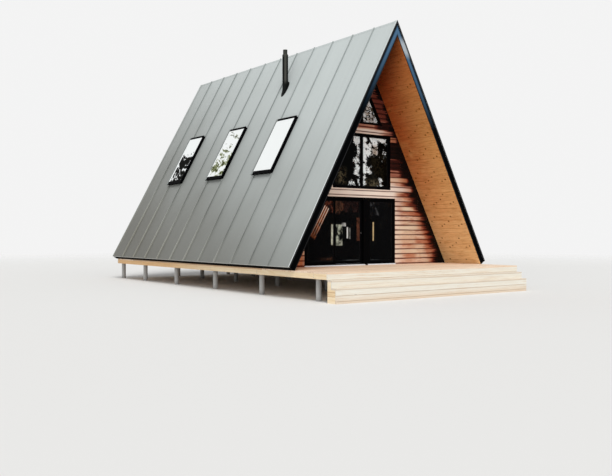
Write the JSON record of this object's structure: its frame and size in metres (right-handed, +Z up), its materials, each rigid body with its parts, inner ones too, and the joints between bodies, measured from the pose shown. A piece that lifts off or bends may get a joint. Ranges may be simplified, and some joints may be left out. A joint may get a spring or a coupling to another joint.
{
  "type": "a-frame cabin",
  "caption": "Timber a-frame cabin on a raised platform with wide front steps, a standing-seam metal roof, skylights, glazed gables and a sliding glass door.",
  "frame": {"origin": "on the lowest ground, below the middle of the whole footprint of platform and steps", "axes": "+X to the right as seen from the front, +Y from the front porch to the back, +Z up; metres"},
  "size_m": [7.8668, 13.76, 8.0259],
  "materials": {
    "roof_metal": "satin, light grey coating",
    "roof_core": "raw",
    "pine_lining": "clear satin",
    "black_trim": "painted black, satin",
    "black_frame": "black, satin",
    "window_glass": "clear, polished",
    "bare_aluminium": "mill finish",
    "pipe_metal": "dark grey, matte",
    "cedar_siding": "oiled",
    "deck_timber": "new, unpainted",
    "step_timber": "new, unpainted",
    "rim_timber": "new, unpainted",
    "floor_timber": "clear satin",
    "concrete": "smooth cast concrete"
  },
  "bodies": {
    "cabin": {"left_roof_slab": "roof_core", "right_roof_slab": "roof_core", "left_roof_metal": "roof_metal", "right_roof_metal": "roof_metal", "ridge_cap": "roof_metal", "left_lining": "pine_lining", "right_lining": "pine_lining", "front_left_rake": "black_trim", "front_right_rake": "black_trim", "rear_left_rake": "black_trim", "rear_right_rake": "black_trim", "left_eave_board": "black_trim", "right_eave_board": "black_trim", "skylight_frames": "black_frame", "skylight_glass": "window_glass", "stove_pipe": "pipe_metal", "pipe_cap": "pipe_metal", "pipe_flashing": "pipe_metal", "front_wall_left": "cedar_siding", "front_wall_right": "cedar_siding", "front_wall_upper": "cedar_siding", "front_gable": "cedar_siding", "rear_wall": "cedar_siding", "door_frame": "black_frame", "door_sill": "bare_aluminium", "fixed_door_panels": "black_frame", "fixed_door_glass": "window_glass", "loft_window_frame": "black_frame", "loft_window_glass": "window_glass", "attic_window_frame": "black_frame", "attic_window_glass": "window_glass", "rear_window_frames": "black_frame", "rear_window_glass": "window_glass", "interior_floor": "floor_timber", "front_deck": "deck_timber", "rear_deck": "deck_timber", "loft_floor": "floor_timber", "side_rims": "rim_timber", "end_rims": "step_timber", "floor_joists": "rim_timber", "inner_beams": "rim_timber", "piers": "concrete", "upper_step": "step_timber", "lower_step": "step_timber", "step_stringers": "rim_timber"},
    "sliding_door": {"sliding_panel": "black_frame", "sliding_glass": "window_glass"}
  },
  "joints": [
    {"name": "door_slide", "type": "slide", "parent": "cabin", "child": "sliding_door", "axis": [-1, 0, 0], "range_m": [0, 1.035]}
  ]
}
